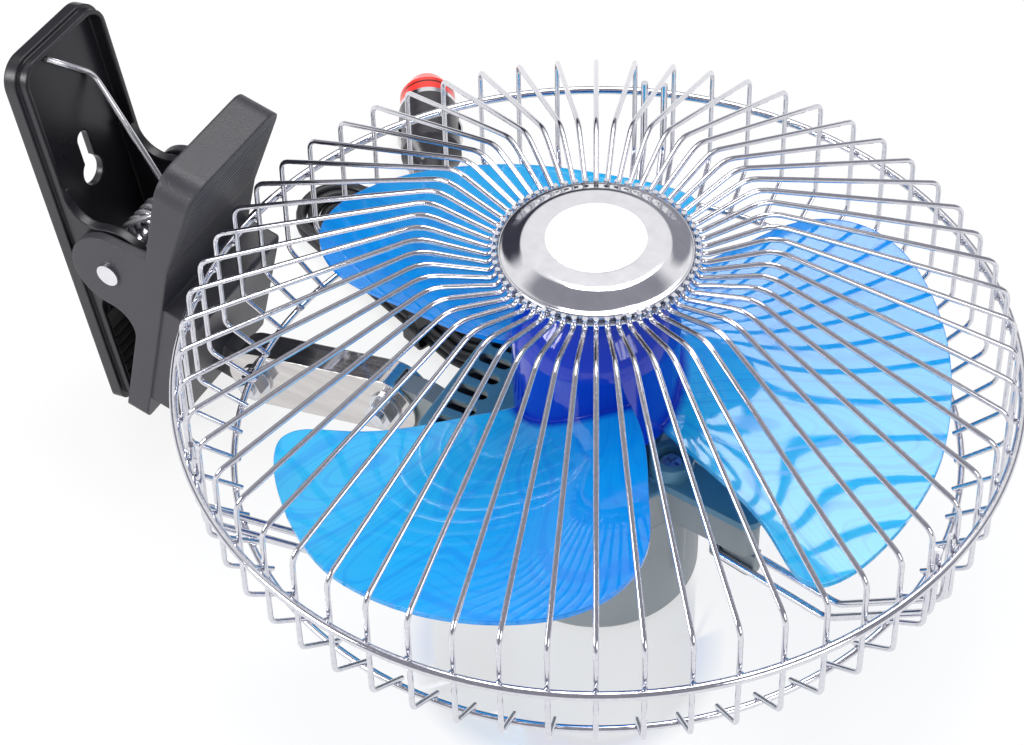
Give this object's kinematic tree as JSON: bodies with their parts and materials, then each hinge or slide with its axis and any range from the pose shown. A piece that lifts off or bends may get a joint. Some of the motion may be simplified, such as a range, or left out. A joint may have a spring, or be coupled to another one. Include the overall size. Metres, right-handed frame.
{
  "type": "clip-on cab fan",
  "caption": "Clip-on cab fan: domed wire guard, twisted-blade impeller on a motor housing, tilting link to a spring clip, coiled cord with a lighter-socket plug.",
  "frame": {"origin": "centre of the motor housing's flat rear face, on the table", "axes": "+Z along the fan's axis toward the centre cap; the link and the clip stand out toward -X"},
  "size_m": [0.2937, 0.2741, 0.1316],
  "materials": {
    "guard_wire": "bright plated wire",
    "chrome": "polished plating",
    "label": "plain white film",
    "blade_blue": "translucent blue moulding",
    "housing_grey": "fine satin grey moulding",
    "clip_black": "satin black moulding",
    "pad_rubber": "matt rubber",
    "cord_black": "smooth cord sheath",
    "steel": "zinc-plated steel",
    "motor_steel": "drawn steel",
    "motor_plastic": "black moulding",
    "magnet": "sintered ferrite",
    "copper": "copper",
    "bronze": "sintered bronze",
    "switch_black": "gloss black moulding",
    "plug_black": "gloss black moulding",
    "plug_red": "gloss red moulding"
  },
  "bodies": {
    "head": {"rear_housing": "housing_grey", "front_cover": "housing_grey", "cover_screws": "steel", "strut_clamps": "housing_grey", "clamp_screws": "steel", "motor_can": "motor_steel", "motor_end_cap": "motor_plastic", "motor_magnets": "magnet", "motor_brushes": "magnet", "front_bush": "bronze", "rear_bush": "bronze", "guard_wires": "guard_wire", "guard_outer_ring": "guard_wire", "guard_rear_ring": "guard_wire", "guard_inner_rings": "guard_wire", "guard_struts": "guard_wire", "centre_cap": "chrome", "cap_label": "label", "switch_body": "switch_black", "strain_relief": "cord_black", "cord_lead": "cord_black", "cord_hank": "cord_black", "hank_tie": "cord_black", "cord_tail": "cord_black", "plug_body": "plug_black", "plug_contacts": "steel", "plug_band": "chrome", "plug_nose": "plug_red"},
    "rotor": {"impeller": "blade_blue", "motor_shaft": "motor_steel", "armature_core": "motor_steel", "armature_windings": "copper", "commutator": "copper"},
    "rocker": {"switch_rocker": "switch_black"},
    "link": {"link_bracket": "chrome", "tilt_bolt": "steel", "tilt_washer": "steel", "tilt_nut": "steel", "clip_bolt": "steel", "clip_washer": "steel", "clip_nut": "steel"},
    "clip": {"front_jaw": "clip_black", "front_pad": "pad_rubber", "pivot_pin": "steel", "torsion_spring": "chrome"},
    "handle": {"rear_jaw": "clip_black", "rear_pad": "pad_rubber"},
    "plug_pin": {"plug_tip_contact": "steel"}
  },
  "joints": [
    {"name": "fan_spin", "type": "hinge", "parent": "head", "child": "rotor", "pos_m": [0, 0, 0.08], "axis": [0, 0, 1], "continuous": true},
    {"name": "switch_press", "type": "hinge", "parent": "head", "child": "rocker", "pos_m": [-0.037, 0, 0.0145], "axis": [1, 0, 0], "range_deg": [-18, 0]},
    {"name": "fan_tilt", "type": "hinge", "parent": "head", "child": "link", "pos_m": [-0.067, 0, 0.034], "axis": [0, 1, 0], "range_deg": [-60, 2]},
    {"name": "clip_swing", "type": "hinge", "parent": "link", "child": "clip", "pos_m": [-0.11297, 0, 0.02423], "axis": [0, 1, 0], "range_deg": [-60, 2]},
    {"name": "jaw_open", "type": "hinge", "parent": "clip", "child": "handle", "pos_m": [-0.14747, 0, 0.06833], "axis": [0, 1, 0], "range_deg": [0, 30], "stiffness_Nm_per_rad": 0.35, "springref_deg": -45.84, "deforming": ["torsion_spring"]},
    {"name": "plug_tip_press", "type": "slide", "parent": "head", "child": "plug_pin", "axis": [-0.5388, 0.8425, 0], "range_m": [-0.003, 0], "stiffness_N_per_m": 900, "springref_m": 0.003}
  ]
}
